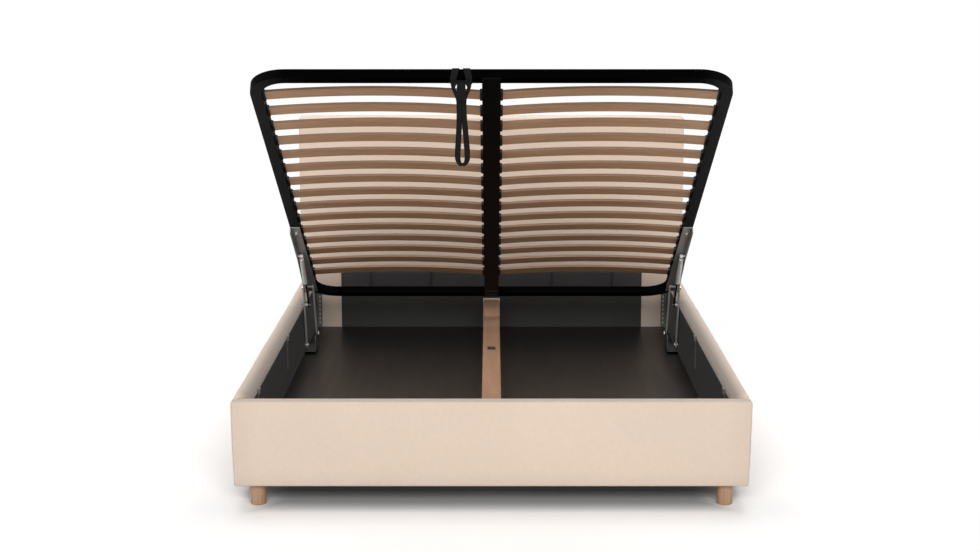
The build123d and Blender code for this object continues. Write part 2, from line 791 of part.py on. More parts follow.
# Gas struts: a hollow cylinder on the platform's end and a rod with its piston below
strut_angle = angle_of(strut_foot, strut_stud)
strut_slide = (0, cos(strut_angle), sin(strut_angle))
mouth_place = strut_open_length - strut_end_length - strut_body_length
rod_length = mouth_place + strut_body_wall + strut_piston_length + fit_gap
bore_radius = strut_body_radius - strut_body_wall
for side, sign in SIDES:
    strut_x = sign * strut_centre

    def strut_plane(place):
        """Cross section of the strut at this distance from its lower pin."""
        return Plane(
            origin=(
                strut_x,
                strut_foot[0] + place * cos(strut_angle),
                strut_foot[1] + place * sin(strut_angle),
            ),
            x_dir=(1, 0, 0),
            z_dir=strut_slide,
        )

    with BuildPart() as strut_rod:
        with BuildSketch(strut_plane(strut_eye_radius / 2)):
            Circle(strut_rod_radius)
        extrude(amount=rod_length - strut_eye_radius / 2)
        with BuildSketch(strut_plane(rod_length - strut_piston_length)):
            Circle(bore_radius - strut_piston_clearance)
        extrude(amount=strut_piston_length)
        with BuildSketch(Plane.YZ.offset(strut_x - strut_eye_width / 2)):
            with Locations(strut_foot):
                Circle(strut_eye_radius)
        extrude(amount=strut_eye_width)
        with BuildSketch(Plane.YZ.offset(strut_x - strut_eye_width / 2)):
            with Locations(strut_foot):
                Circle(strut_stud_radius + pin_clearance)
        extrude(amount=strut_eye_width, mode=Mode.SUBTRACT)
    save(strut_rod.part, f"{side}_strut_rod")

    with BuildPart() as strut_cylinder:
        with BuildSketch(strut_plane(mouth_place)):
            Circle(strut_body_radius)
        extrude(amount=strut_body_length)
        fillet(strut_cylinder.edges(), strut_body_wall)
        with BuildSketch(strut_plane(mouth_place + strut_body_wall)):
            Circle(bore_radius)
        extrude(amount=strut_body_length - 3 * strut_body_wall, mode=Mode.SUBTRACT)
        with BuildSketch(strut_plane(mouth_place)):
            Circle(strut_rod_radius + strut_guide_clearance)
        extrude(amount=2 * strut_body_wall, mode=Mode.SUBTRACT)
        with BuildSketch(strut_plane(mouth_place + strut_body_length - strut_body_wall)):
            Circle(strut_rod_radius)
        extrude(amount=strut_end_length + strut_body_wall - strut_eye_radius / 2)
        with BuildSketch(Plane.YZ.offset(strut_x - strut_eye_width / 2)):
            with Locations(strut_stud):
                Circle(strut_eye_radius)
        extrude(amount=strut_eye_width)
        with Locations(pin_seat(sign, strut_centre - eye_half, strut_stud)):
            Cylinder(strut_stud_radius, web_inner - side_gap - strut_centre + eye_half, align=STAND)
        with Locations(pin_seat(sign, strut_centre - eye_half - rivet_head_thickness, strut_stud)):
            Cylinder(strut_eye_radius, rivet_head_thickness, align=STAND)
    save(strut_cylinder.part, f"{side}_strut_cylinder")

# Pull strap: hitched round the foot-end bar, with a long loop hanging below
foot_bar_middle = platform_length - tube_width / 2
strap_x = -strap_place
hitch_width = 2 * hitch_band_width + hitch_band_gap
with BuildPart() as strap_hitch:
    hitch_offset = (hitch_band_width + hitch_band_gap) / 2
    band_inner = (tube_width + 2 * strap_clearance, tube_height + 2 * strap_clearance)
    for shift in (-hitch_offset, hitch_offset):
        with BuildSketch(platform_side(strap_x + shift - hitch_band_width / 2)):
            with Locations((foot_bar_middle, tube_height / 2)):
                RectangleRounded(
                    band_inner[0] + 2 * strap_thickness,
                    band_inner[1] + 2 * strap_thickness,
                    strap_thickness,
                )
                Rectangle(*band_inner, mode=Mode.SUBTRACT)
        extrude(amount=-hitch_band_width)
    with BuildSketch(platform_side(strap_x - hitch_offset)):
        with Locations((foot_bar_middle, -strap_clearance - strap_thickness / 2)):
            Rectangle(tube_width / 2, strap_thickness)
    extrude(amount=-2 * hitch_offset)
save(strap_hitch.part, "strap_hitch")

strap_pivot = on_platform(foot_bar_middle, -(strap_clearance + 2 * strap_thickness + fit_gap))
loop_radius = strap_loop_width / 2
with BuildPart() as pull_strap:
    strap_front = Plane(
        origin=(strap_x, strap_pivot[0] + strap_thickness, strap_pivot[1]),
        x_dir=(1, 0, 0),
        z_dir=(0, -1, 0),
    )
    with BuildSketch(strap_front):
        with BuildLine():
            Polyline(
                (-hitch_width / 2, 0),
                (hitch_width / 2, 0),
                (strap_trunk_width / 2, -strap_gather),
                (strap_trunk_width / 2, -strap_trunk_length),
                (-strap_trunk_width / 2, -strap_trunk_length),
                (-strap_trunk_width / 2, -strap_gather),
                close=True,
            )
        make_face()
    extrude(amount=2 * strap_thickness)
    with BuildSketch(strap_front):
        with Locations((0, -strap_length + loop_radius)):
            Circle(loop_radius)
        with Locations((0, -strap_trunk_length + strap_trunk_width / 2)):
            Circle(strap_trunk_width / 2)
        make_hull()
    extrude(amount=2 * strap_thickness)
    with BuildSketch(strap_front):
        with Locations((0, -strap_length + strap_loop_base + strap_loop_gap / 2)):
            Circle(strap_loop_gap / 2)
        with Locations((0, -strap_trunk_length)):
            Circle(strap_loop_tip)
        make_hull()
    extrude(amount=2 * strap_thickness, mode=Mode.SUBTRACT)
    with Locations(pin_seat(1, strap_x, strap_pivot)):
        Cylinder(strap_thickness, hitch_width)
save(pull_strap.part, "pull_strap")
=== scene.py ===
"""Looks of the open ottoman storage bed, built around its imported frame. Metres, +Z up, foot at -Y."""

import json
import math

import bmesh
import bpy
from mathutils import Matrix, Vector, noise


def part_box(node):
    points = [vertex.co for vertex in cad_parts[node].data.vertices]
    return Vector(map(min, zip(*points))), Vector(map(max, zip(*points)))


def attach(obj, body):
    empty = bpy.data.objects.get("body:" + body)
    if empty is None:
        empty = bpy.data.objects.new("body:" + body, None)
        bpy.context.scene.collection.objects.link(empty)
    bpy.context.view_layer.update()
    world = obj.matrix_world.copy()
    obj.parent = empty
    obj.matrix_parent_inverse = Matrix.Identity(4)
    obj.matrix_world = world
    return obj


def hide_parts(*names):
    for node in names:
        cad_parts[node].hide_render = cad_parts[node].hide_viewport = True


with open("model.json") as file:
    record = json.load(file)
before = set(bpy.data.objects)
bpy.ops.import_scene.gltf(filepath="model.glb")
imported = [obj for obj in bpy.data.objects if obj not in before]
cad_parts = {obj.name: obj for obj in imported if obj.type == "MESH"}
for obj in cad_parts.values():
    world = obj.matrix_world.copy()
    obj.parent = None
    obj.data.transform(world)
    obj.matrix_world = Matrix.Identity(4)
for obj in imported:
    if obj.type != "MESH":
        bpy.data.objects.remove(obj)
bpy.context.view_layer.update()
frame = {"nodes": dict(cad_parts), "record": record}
NODES = frame["nodes"]


# Node trees

WHITE = (1.0, 1.0, 1.0, 1.0)
EASED = "SMOOTHSTEP"
# Sockets of the mix node in its colour form
MIX_FACTOR, MIX_FIRST, MIX_SECOND = 0, 6, 7
MIX_RESULT = 2
# Length of the blend where a shade stops on Y
FRONT_BLEND = 0.02


def srgb(red, green, blue):
    """Linear colour of an 8-bit one."""
    out = []
    for value in (red, green, blue):
        value /= 255
        out.append(value / 12.92 if value <= 0.04045 else ((value + 0.055) / 1.055) ** 2.4)
    return (*out, 1.0)


def shade(color, factor):
    """The colour made darker or lighter by a factor."""
    return (color[0] * factor, color[1] * factor, color[2] * factor, 1.0)


class Tree:
    """A node tree, with short calls to add nodes and links."""

    def __init__(self, tree):
        self.tree = tree

    def add(self, kind, **settings):
        node = self.tree.nodes.new(kind)
        for key, value in settings.items():
            setattr(node, key, value)
        return node

    def feed(self, socket, value):
        """Sets a plain value on a socket, or links the socket that gives the value."""
        if isinstance(value, (int, float, tuple)):
            socket.default_value = value
        else:
            self.tree.links.new(value, socket)

    def fill(self, node, **values):
        """Feeds a node's sockets by name, with an underscore for each space in it."""
        for key, value in values.items():
            self.feed(node.inputs[key.replace("_", " ")], value)

    def math(self, operation, first, second=0.0):
        node = self.add("ShaderNodeMath", operation=operation)
        self.feed(node.inputs[0], first)
        self.feed(node.inputs[1], second)
        return node.outputs["Value"]

    def ranged(self, value, easing="LINEAR", **limits):
        """Value moved from one range to another."""
        node = self.add("ShaderNodeMapRange", interpolation_type=easing)
        self.fill(node, Value=value, **limits)
        return node.outputs["Result"]

    def blend(self, factor, first, second):
        """Shader that goes from the first to the second one with the factor."""
        node = self.add("ShaderNodeMixShader")
        for socket, value in zip(node.inputs, (factor, first, second)):
            self.feed(socket, value)
        return node.outputs["Shader"]

    def seen(self):
        """One for rays that show a surface straight, mirrored or through glass, else nought."""
        rays = self.add("ShaderNodeLightPath").outputs
        mirrored = self.math("MAXIMUM", rays["Is Camera Ray"], rays["Is Glossy Ray"])
        return self.math("MAXIMUM", mirrored, rays["Is Transmission Ray"])


class Look(Tree):
    """The node tree of a new material, around its main shader."""

    def __init__(self, name):
        self.material = bpy.data.materials.new(name)
        self.material.use_nodes = True
        super().__init__(self.material.node_tree)
        self.shader = self.tree.nodes["Principled BSDF"]
        coordinates = self.add("ShaderNodeTexCoord")
        self.place = coordinates.outputs["Object"]
        self.normal = coordinates.outputs["Normal"]

    def set(self, **values):
        self.fill(self.shader, **values)

    def scaled(self, scale):
        """Place with each axis scaled."""
        node = self.add("ShaderNodeMapping")
        self.fill(node, Vector=self.place, Scale=scale)
        return node.outputs["Vector"]

    def noise(self, scale, detail, roughness, stretch=(1, 1, 1)):
        node = self.add("ShaderNodeTexNoise")
        self.fill(node, Vector=self.scaled(stretch), Scale=scale, Detail=detail, Roughness=roughness)
        return node.outputs["Fac"]

    def bands(self, direction, scale):
        node = self.add("ShaderNodeTexWave", wave_type="BANDS", bands_direction=direction)
        self.fill(node, Vector=self.place, Scale=scale)
        return node.outputs["Fac"]

    def component(self, vector, axis):
        node = self.add("ShaderNodeSeparateXYZ")
        self.fill(node, Vector=vector)
        return node.outputs[axis]

    def facing(self, axis):
        """One on faces that look along an axis, nought on faces that lie along it."""
        return self.math("POWER", self.math("ABSOLUTE", self.component(self.normal, axis)), 2.0)

    def along(self, axis, start, end, low, high):
        """Number that eases from low to high between two places on an axis, on X to both sides."""
        place = self.component(self.place, axis)
        if axis == "X":
            place = self.math("ABSOLUTE", place)
        return self.ranged(place, EASED, From_Min=start, From_Max=end, To_Min=low, To_Max=high)

    def mix(self, factor, first, second, blend="MIX"):
        node = self.add("ShaderNodeMix", data_type="RGBA", blend_type=blend)
        for number, value in ((MIX_FACTOR, factor), (MIX_FIRST, first), (MIX_SECOND, second)):
            self.feed(node.inputs[number], value)
        return node.outputs[MIX_RESULT]

    def times(self, first, second):
        return self.mix(1.0, first, second, "MULTIPLY")

    def tones(self, factor, dark, light, low=0.3, high=0.7):
        """Colour that goes from dark to light while the factor goes from low to high."""
        node = self.add("ShaderNodeValToRGB")
        for stop, place, color in zip(node.color_ramp.elements, (low, high), (dark, light)):
            stop.position = place
            stop.color = color
        self.fill(node, Fac=factor)
        return node.outputs["Color"]

    def shaded(self, color, *gradients):
        """Colour scaled by each gradient in turn."""
        for limits, front_of in gradients:
            share = 1.0
            if front_of is not None:
                share = self.along("Y", front_of - FRONT_BLEND, front_of, 1.0, 0.0)
            color = self.mix(share, color, self.along(*limits), "MULTIPLY")
        return color

    def bump(self, height, distance, strength):
        node = self.add("ShaderNodeBump")
        self.fill(node, Height=height, Distance=distance, Strength=strength)
        self.set(Normal=node.outputs["Normal"])

    def roughness(self, factor, low, high):
        self.set(Roughness=self.ranged(factor, To_Min=low, To_Max=high))


# Materials

THREAD_SCALE = 260.0
THREAD_CONTRAST = 0.05
# How much a grain or a brushed line is drawn out, as the scale along it
WOOD_STRETCH = 0.04
FILM_STRETCH = (1.0, 0.05, 1.0)
BRUSHED_STRETCH = (1, 0.12, 1)


def gradient(axis, start, end, low, high, front_of=None):
    """Shade from low to high between two places on an axis, kept to what lies before front_of on Y."""
    return (axis, start, end, low, high), front_of


def weave_height(m):
    """Threads that cross on every face, each kind left out where the face looks along it."""
    height = 0.0
    for axis in "XYZ":
        level = m.math("SUBTRACT", 1.0, m.facing(axis))
        threads = m.math("MULTIPLY", m.bands(axis, THREAD_SCALE), level)
        height = m.math("ADD", threads, height)
    return m.math("MULTIPLY", height, 0.5)


def fabric(name, color, *gradients):
    """Plain woven cloth."""
    m = Look(name)
    weave = weave_height(m)
    slub = m.noise(scale=90, detail=3, roughness=0.6)
    cloud = m.noise(scale=2.6, detail=3, roughness=0.5)
    tone = m.tones(cloud, shade(color, 0.97), shade(color, 1.02))
    threads = m.tones(weave, shade(WHITE, 1 - THREAD_CONTRAST * 2), WHITE, low=0.0, high=1.0)
    fibres = m.tones(slub, shade(WHITE, 1 - THREAD_CONTRAST), WHITE)
    cloth = m.shaded(m.times(m.times(tone, threads), fibres), *gradients)
    m.bump(m.math("ADD", weave, m.math("MULTIPLY", slub, 0.6)), distance=0.0003, strength=0.5)
    m.roughness(slub, 0.82, 0.95)
    m.set(Base_Color=cloth, Sheen_Weight=0.25, Sheen_Roughness=0.45)
    return m.material


def nonwoven(name, color, gloss=0.3):
    """Felted lining with a fine fleck."""
    m = Look(name)
    fleck = m.noise(scale=420, detail=5, roughness=0.7)
    cloud = m.noise(scale=5, detail=3, roughness=0.5)
    tone = m.tones(cloud, shade(color, 0.88), shade(color, 1.12))
    flecks = m.tones(fleck, shade(color, 0.6), shade(color, 1.5), low=0.35, high=0.65)
    m.bump(fleck, distance=0.0003, strength=0.6)
    m.roughness(fleck, 0.6, 0.85)
    m.set(Base_Color=m.mix(0.25, tone, flecks), Sheen_Weight=0.05, Specular_IOR_Level=gloss)
    return m.material


def timber(name, dark, light, along, *gradients, roughness=(0.4, 0.55), coat=0.1, edges=1.0):
    """Straight-grained wood whose grain runs along one axis, with fine pores.

    edges scales the colour of the faces that look along Y, such as a slat's narrow edges; on the slats
    it darkens them, partly for their darker plies and partly as painted shade.
    """
    m = Look(name)
    stretch = tuple(WOOD_STRETCH if axis == along else 1.0 for axis in "XYZ")
    grain = m.noise(scale=70, detail=6, roughness=0.62, stretch=stretch)
    fine = m.noise(scale=420, detail=3, roughness=0.6, stretch=stretch)
    cloud = m.noise(scale=4, detail=2, roughness=0.5)
    pores = m.tones(fine, (0.86, 0.84, 0.82, 1.0), WHITE, high=0.55)
    patches = m.tones(cloud, shade(WHITE, 0.95), WHITE)
    wood = m.times(m.times(m.tones(grain, dark, light), pores), patches)
    wood = m.shaded(wood, *gradients)
    wood = m.mix(m.facing("Y"), wood, m.times(wood, shade(WHITE, edges)))
    m.bump(m.math("ADD", grain, fine), distance=0.0002, strength=0.35)
    m.roughness(grain, *roughness)
    m.set(Base_Color=wood, Coat_Weight=coat, Coat_Roughness=0.25)
    return m.material


def paint(name, color, *gradients, roughness=(0.35, 0.5), metallic=0.2, gloss=0.5, crossbar_shade=None):
    """Sprayed steel. When given a shade colour, only the tops and undersides far out on X keep the
    colour, as painted light on the side tubes, and everything else takes that colour as painted shade.
    """
    m = Look(name)
    peel = m.noise(scale=380, detail=3, roughness=0.5)
    cloud = m.noise(scale=9, detail=3, roughness=0.6)
    coat = m.shaded(m.tones(cloud, shade(color, 0.88), shade(color, 1.1)), *gradients)
    if crossbar_shade is not None:
        # Painted light on the side tubes' tops and undersides; the cross bars and tube walls take the
        # painted shade
        side = m.math("MULTIPLY", m.along("X", *SIDE_TUBES, 0.0, 1.0), m.facing("Z"))
        coat = m.mix(side, crossbar_shade, coat)
    m.bump(peel, distance=0.00006, strength=0.6)
    m.roughness(cloud, *roughness)
    m.set(Base_Color=coat, Metallic=metallic, Specular_IOR_Level=gloss)
    return m.material


def metal(name, color, roughness=(0.22, 0.42)):
    """Bare brushed metal."""
    m = Look(name)
    brushed = m.noise(scale=240, detail=4, roughness=0.6, stretch=BRUSHED_STRETCH)
    cloud = m.noise(scale=40, detail=3, roughness=0.6)
    m.bump(brushed, distance=0.00004, strength=0.5)
    m.roughness(brushed, *roughness)
    m.set(Base_Color=m.tones(cloud, shade(color, 0.8), color), Metallic=1.0)
    return m.material


def plastic(name, color, roughness):
    m = Look(name)
    grain = m.noise(scale=900, detail=2, roughness=0.5)
    cloud = m.noise(scale=30, detail=2, roughness=0.5)
    m.bump(grain, distance=0.00005, strength=0.5)
    m.roughness(grain, *roughness)
    m.set(Base_Color=m.tones(cloud, shade(color, 0.85), shade(color, 1.1)))
    return m.material


def dark_film(name, *gradients):
    """Dark, slightly glossy wood-grain film of the storage floor."""
    m = Look(name)
    grain = m.noise(scale=26, detail=6, roughness=0.65, stretch=FILM_STRETCH)
    fine = m.noise(scale=240, detail=3, roughness=0.6, stretch=FILM_STRETCH)
    tone = m.tones(grain, srgb(17, 13, 11), srgb(27, 21, 18))
    film = m.mix(0.3, tone, m.tones(fine, srgb(13, 10, 9), srgb(33, 27, 23)))
    m.bump(fine, distance=0.00008, strength=0.4)
    m.roughness(grain, 0.3, 0.42)
    m.set(Base_Color=m.shaded(film, *gradients), Specular_IOR_Level=0.3)
    return m.material


def webbing(name, color):
    """Woven band with fine ribs across it."""
    m = Look(name)
    ribs = m.bands("Z", 420.0)
    fleck = m.noise(scale=500, detail=3, roughness=0.6)
    ribbed = m.tones(ribs, shade(color, 0.7), shade(color, 1.25), low=0.0, high=1.0)
    m.bump(m.math("ADD", ribs, fleck), distance=0.0003, strength=0.7)
    m.roughness(fleck, 0.8, 0.95)
    m.set(Base_Color=m.mix(0.5, ribbed, color), Specular_IOR_Level=0.08)
    return m.material


# The headboard's front face and the first of its sides, which alone carry its painted light and shade
HEAD_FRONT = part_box("headboard_cover")[0].y + 0.03
# Painted light and shade that pieces carry along their own axes
# Foot panel: painted shade, darker towards its ends and towards its bottom edge
PANEL_END_SHADE = gradient("X", 0.73, 0.83, 1.0, 0.93)
PANEL_FOOT_SHADE = gradient("Z", 0.075, 0.13, 0.93, 1.0)
# Rails: painted shade on their inner side down to the lining, and painted light on their outer top
RAIL_LIGHT_AND_SHADE = gradient("X", 0.775, 0.825, 0.45, 1.2)
# Headboard: painted shadow of the platform on its lower front, and painted light on its upper front
HEAD_LIGHT_AND_SHADE = gradient("Z", 0.23, 0.42, 0.72, 1.17, front_of=HEAD_FRONT)
# Beam: painted light at its front end and painted shade at its back end, under the platform
BEAM_LIGHT_AND_SHADE = gradient("Y", -0.3, 1.0, 1.14, 0.44)
# Centre bar: painted shade at its foot end, rising to painted light at its head end
CENTRE_LIGHT_AND_SHADE = gradient("Y", -1.05, 0.6, 0.5, 5.0)
# Storage floor: painted reflection at its front, fading to painted shade at its back
FLOOR_REFLECTION_AND_SHADE = gradient("Y", -0.52, 0.3, 1.76, 0.22)
# Where the frame's cross bars end and its side tubes begin
SIDE_TUBES = (0.62, 0.735)

BEIGE = srgb(224, 204, 186)
# Each upholstery fabric carries the painted light and shade given to it above
PANEL_FABRIC = fabric("panel_upholstery", BEIGE, PANEL_END_SHADE, PANEL_FOOT_SHADE)
RAIL_FABRIC = fabric("rail_upholstery", BEIGE, RAIL_LIGHT_AND_SHADE)
HEAD_FABRIC = fabric("headboard_upholstery", BEIGE, HEAD_LIGHT_AND_SHADE)
# A darker copy of the dark lining for the side linings, as painted shade inside the storage box
SHADED_SIDE_LINING = nonwoven("shaded_side_lining", srgb(18, 17, 16), gloss=0.15)
PAD_LINING = nonwoven("pad_lining", srgb(60, 58, 58))
WEBBING = webbing("webbing", srgb(25, 25, 26))

# Black paint whose cross bars and tube walls get a near-black painted shade, so the side tubes look lit
BLACK_PAINT_WITH_SHADE = {"roughness": (0.42, 0.55), "metallic": 0.0, "gloss": 0.008, "crossbar_shade": srgb(1, 1, 1)}
DULL_FINISH = {"roughness": (0.5, 0.6), "metallic": 0.0, "gloss": 0.05}
STRUT_FINISH = {"roughness": (0.28, 0.4), "metallic": 0.15}
CENTRE_STEEL = paint("centre_steel", srgb(11, 8, 6), CENTRE_LIGHT_AND_SHADE, **DULL_FINISH)
DARK_STEEL = paint("dark_steel", srgb(98, 96, 93))
CHANNEL_STEEL = paint("channel_steel", srgb(66, 65, 63))

# The dark and light tone of each wood
SLAT_TONES = (srgb(189, 146, 112), srgb(216, 171, 135))
LEG_TONES = (srgb(166, 130, 100), srgb(182, 146, 116))
BEAM_TONES = (srgb(172, 130, 100), srgb(188, 147, 117))
BARE_TONES = (srgb(188, 158, 122), srgb(212, 184, 148))

BY_SLOT = {
    "upholstery": fabric("upholstery", BEIGE),
    "dark_lining": nonwoven("dark_lining", srgb(41, 40, 39)),
    "timber": timber("bare_timber", *BARE_TONES, "X", roughness=(0.45, 0.6), coat=0.0),
    "dark_board": dark_film("floor_film", FLOOR_REFLECTION_AND_SHADE),
    "beam_board": timber("beam_wood", *BEAM_TONES, "Y", BEAM_LIGHT_AND_SHADE),
    # Slat edges darkened, partly darker plies and partly painted shade
    "slat_wood": timber("slat_wood", *SLAT_TONES, "X", edges=0.25),
    "leg_wood": timber("leg_wood", *LEG_TONES, "Z", roughness=(0.35, 0.5), coat=0.15),
    "black_steel": paint("black_steel", srgb(40, 40, 40), **BLACK_PAINT_WITH_SHADE),
    "grey_steel": paint("grey_steel", srgb(155, 153, 150)),
    "zinc": metal("zinc", srgb(205, 205, 200)),
    "strut_grey": paint("strut_grey", srgb(206, 206, 201), **STRUT_FINISH),
    "rod_steel": metal("rod_steel", srgb(60, 60, 60), roughness=(0.12, 0.25)),
    "black_plastic": plastic("black_plastic", srgb(12, 11, 11), roughness=(0.6, 0.75)),
    "bumper_rubber": plastic("bumper_rubber", srgb(42, 40, 39), roughness=(0.7, 0.85)),
    "webbing": WEBBING,
    "shoe_metal": paint("shoe_metal", srgb(196, 188, 176)),
}
BY_NODE = {
    "centre_bar": CENTRE_STEEL,
    "left_lining": SHADED_SIDE_LINING,
    "right_lining": SHADED_SIDE_LINING,
    "left_base_channel": CHANNEL_STEEL,
    "right_base_channel": CHANNEL_STEEL,
    "corner_angles": DARK_STEEL,
    "guide_brackets": DARK_STEEL,
}
for entry in frame["record"]["subparts"]:
    mesh = NODES[entry["node"]].data
    mesh.materials.clear()
    mesh.materials.append(BY_NODE.get(entry["node"], BY_SLOT[entry["material_slot"]]))


# Upholstery

# How far from its edges a crowned face still rises, and how much of the crown sinks back in
CROWN_REACH = 0.2
CROWN_SINK = 0.4
# How squarely a vertex has to look along a face to move with it
FACE_LIMIT = 0.5
# Height and scale of slight unevenness
UNEVEN = 0.0004
UNEVEN_SCALE = 3.0
# Cut of the sculpted surfaces
STEP = 0.024
HEAD_STEP = 0.03

RAIL_OUTER_RADIUS = 0.010
RAIL_INNER_RADIUS = 0.026
CORNER_STEPS = 8
# The ends of a rail stay flat
END_MARGIN = 0.001
# Two waves in a rail's cloth, as height and scale
LONG_WAVE = (0.0012, 4.0)
SHORT_WAVE = (0.0005, 15.0)
# On its inner side they are gone this far below its top, after fading over this height
SOFT_DEPTH = 0.11
SOFT_BLEND = 0.09
# A vertex that looks outward more than this is on the outer side, where they go all the way down
OUTWARD_LIMIT = 0.3


def add_object(name, bm, material):
    mesh = bpy.data.meshes.new(name)
    bmesh.ops.recalc_face_normals(bm, faces=bm.faces)
    bm.to_mesh(mesh)
    bm.free()
    for polygon in mesh.polygons:
        polygon.use_smooth = True
    mesh.materials.append(material)
    piece = bpy.data.objects.new(name, mesh)
    bpy.context.scene.collection.objects.link(piece)
    return piece


def slice_grid(bm, low, high, step):
    """Cuts the mesh into squares of about this size, so that it can be sculpted."""
    for axis in range(3):
        normal = [0.0, 0.0, 0.0]
        normal[axis] = 1.0
        count = max(1, round((high[axis] - low[axis]) / step))
        for number in range(1, count):
            place = [0.0, 0.0, 0.0]
            place[axis] = low[axis] + (high[axis] - low[axis]) * number / count
            everything = bm.verts[:] + bm.edges[:] + bm.faces[:]
            bmesh.ops.bisect_plane(bm, geom=everything, plane_co=place, plane_no=normal)


def ease(value):
    """0 below 0, 1 above 1, and a soft curve between."""
    value = min(max(value, 0.0), 1.0)
    return value * value * (3 - 2 * value)


def crown_lift(vertex, low, high, axis, swell):
    """How far a crowned face rises at a vertex, before its unevenness."""
    lift = swell
    for other in range(3):
        if other == axis:
            continue
        edge = min(vertex.co[other] - low[other], high[other] - vertex.co[other])
        reach = min(CROWN_REACH, (high[other] - low[other]) / 2)
        lift *= math.sin(math.pi / 2 * min(1.0, edge / reach))
    return lift


def padded_block(name, low, high, radius, swell, faces, cloth, step=STEP, lean=0.0):
    """Upholstered board: a soft-edged block whose named faces are crowned and slightly uneven.

    Each of faces is an axis and a sign. lean is how much further out each end gets at the top,
    and further in at the bottom.
    """
    bm = bmesh.new()
    bmesh.ops.create_cube(bm, size=1.0)
    centre = (low + high) / 2
    size = high - low
    for vertex in bm.verts:
        vertex.co = Vector(vertex.co[axis] * size[axis] for axis in range(3)) + centre
    bmesh.ops.bevel(
        bm, geom=bm.edges[:], offset=radius, segments=5, profile=0.5, affect="EDGES", clamp_overlap=True
    )
    slice_grid(bm, low, high, step)
    bm.normal_update()
    moves = []
    for vertex in bm.verts:
        move = Vector()
        for axis, sign in faces:
            facing = vertex.normal[axis] * sign
            if facing < FACE_LIMIT:
                continue
            lift = crown_lift(vertex, low, high, axis, swell)
            lift += UNEVEN * noise.noise(vertex.co * UNEVEN_SCALE) - swell * CROWN_SINK
            move[axis] += sign * lift * facing
        moves.append(move)
    for vertex, move in zip(bm.verts, moves):
        vertex.co += move
        level = 2 * (vertex.co.z - centre.z) / size.z
        vertex.co.x += lean * level * (vertex.co.x - centre.x) / (size.x / 2)
    return add_object(name, bm, cloth)


def rail_outline(width, height, left, right):
    """Section of a rail round its middle, with these radii on its top corners."""
    outline = [(-width / 2, 0.0)]
    corners = ((left - width / 2, left, math.pi), (width / 2 - right, right, math.pi / 2))
    for centre, radius, start in corners:
        for number in range(CORNER_STEPS + 1):
            angle = start - math.pi / 2 * number / CORNER_STEPS
            x = centre + radius * math.cos(angle)
            outline.append((x, height - radius + radius * math.sin(angle)))
    outline.append((width / 2, 0.0))
    return outline


def wave(place, height, scale):
    return height * noise.noise(place * scale)


def rail_block(name, node, sign):
    """Upholstered rail with a rounded top, laid over the rail's board."""
    low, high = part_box(node)
    radii = [RAIL_OUTER_RADIUS, RAIL_INNER_RADIUS]
    if sign > 0:
        radii.reverse()
    outline = rail_outline(high.x - low.x, high.z - low.z, *radii)
    bm = bmesh.new()
    ring = [bm.verts.new(((low.x + high.x) / 2 + x, low.y, low.z + z)) for x, z in outline]
    swept = bmesh.ops.extrude_face_region(bm, geom=[bm.faces.new(ring)])
    for item in swept["geom"]:
        if isinstance(item, bmesh.types.BMVert):
            item.co.y = high.y
    slice_grid(bm, low, high, STEP)
    bm.normal_update()
    for vertex in bm.verts:
        if low.y + END_MARGIN < vertex.co.y < high.y - END_MARGIN:
            soft = ease((vertex.co.z - high.z + SOFT_DEPTH) / SOFT_BLEND)
            lift = wave(vertex.co, *LONG_WAVE) + wave(vertex.co, *SHORT_WAVE)
            outward = vertex.normal.x * sign > OUTWARD_LIMIT
            vertex.co += vertex.normal * lift * (1.0 if outward else soft)
    return add_object(name, bm, RAIL_FABRIC)


def dress(piece, node):
    """Attaches a pad that stands for a cover of the base to the base, and hides the cover."""
    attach(piece, "base")
    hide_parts(node)


FRONT, BACK = (1, -1), (1, 1)
LEFT, RIGHT = (0, -1), (0, 1)
TOP = (2, 1)

# The foot panel's pad ends this far over the board inside it and under the cover's own bottom
PANEL_OVER_BOARD = 0.0012
PANEL_UNDER_COVER = 0.0015

low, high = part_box("foot_panel_cover")
high.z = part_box("foot_panel_board")[1].z + PANEL_OVER_BOARD
low.z -= PANEL_UNDER_COVER
foot_pad = padded_block(
    "foot_panel_upholstery",
    low,
    high,
    radius=0.008,
    swell=0.003,
    faces=(FRONT, LEFT, RIGHT),
    cloth=PANEL_FABRIC,
    lean=0.0028,
)
dress(foot_pad, "foot_panel_cover")
head_pad = padded_block(
    "headboard_upholstery",
    *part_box("headboard_cover"),
    radius=0.012,
    swell=0.004,
    faces=(BACK, LEFT, RIGHT, TOP),
    cloth=HEAD_FABRIC,
    step=HEAD_STEP,
)
dress(head_pad, "headboard_cover")
for side, sign in (("left", -1), ("right", 1)):
    rail = rail_block(f"{side}_rail_upholstery", f"{side}_rail_cover", sign)
    dress(rail, f"{side}_rail_cover")


# Row of thin lining pads on the headboard's lower part

PAD_JOINT = 0.003
PAD_WIDTH = 0.262
PAD_RADIUS = 0.014
PAD_COLUMNS = 28
PAD_ROWS = 14
# A pad's thickness, and how far in from its edges it gets there
PAD_RISE = 0.0046
PAD_EDGE = 0.016
PAD_UNEVEN_SCALE = 30


